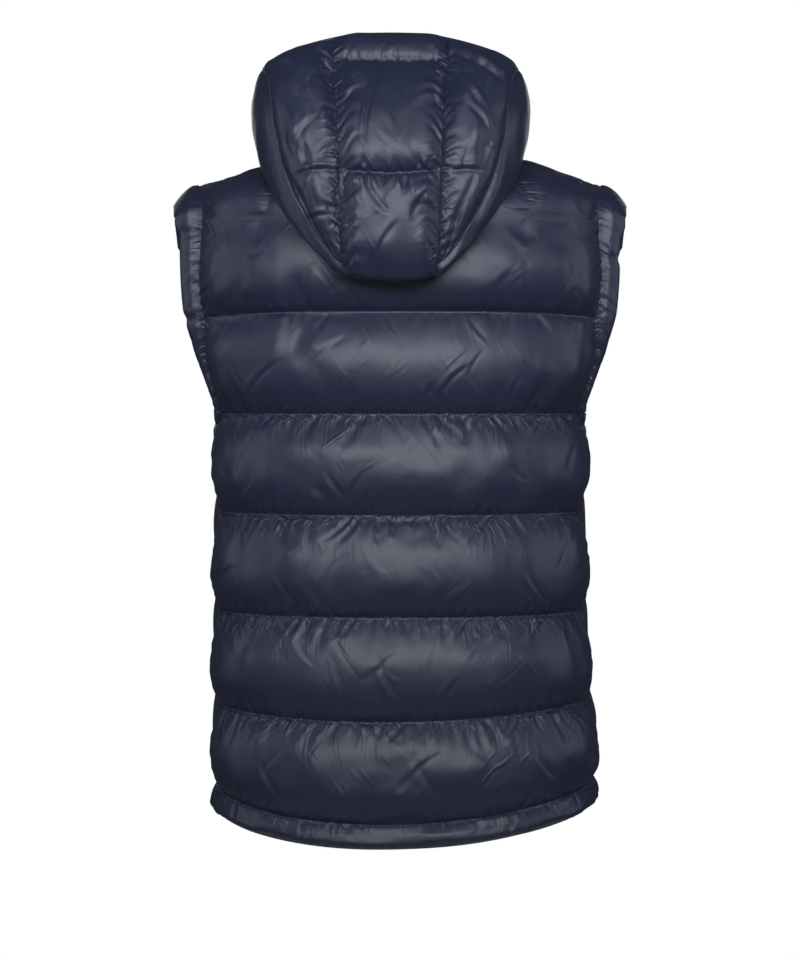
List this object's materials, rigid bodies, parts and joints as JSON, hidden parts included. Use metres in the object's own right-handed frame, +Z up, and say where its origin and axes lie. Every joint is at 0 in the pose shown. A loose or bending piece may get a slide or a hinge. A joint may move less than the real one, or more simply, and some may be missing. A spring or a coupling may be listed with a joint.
{
  "type": "quilted gilet",
  "caption": "Hooded sleeveless puffer gilet with level quilted channels, padded armhole and hem bands, stand collar, hood lying back and a zip front",
  "frame": {"origin": "middle of the neck opening at shoulder height, where the wearer's shoulders carry the garment", "axes": "+Z up, -Y the front with the zip, +Y the back with the hood, +X the wearer's left"},
  "size_m": [0.4542, 0.3348, 0.7754],
  "materials": {
    "shell_cloth": "satin navy nylon over down filling",
    "zip_tape": "matt woven tape",
    "zip_metal": "dark satin coating"
  },
  "bodies": {
    "gilet": {"back_panel": "shell_cloth", "back_yoke": "shell_cloth", "front_left": "shell_cloth", "front_right": "shell_cloth", "hem_back": "shell_cloth", "hem_front_left": "shell_cloth", "hem_front_right": "shell_cloth", "armhole_band_left": "shell_cloth", "armhole_band_right": "shell_cloth", "collar": "shell_cloth", "hood_centre": "shell_cloth", "hood_side_left": "shell_cloth", "hood_side_right": "shell_cloth", "hood_under_left": "shell_cloth", "hood_under_right": "shell_cloth", "zip_tape_left": "zip_tape", "zip_tape_right": "zip_tape", "zip_slider": "zip_metal"},
    "pull": {"zip_pull": "zip_metal"}
  },
  "joints": [
    {"name": "pull_swing", "type": "hinge", "parent": "gilet", "child": "pull", "pos_m": [0, -0.0819, 0.02], "axis": [-1, 0, 0], "range_deg": [0, 150]}
  ]
}
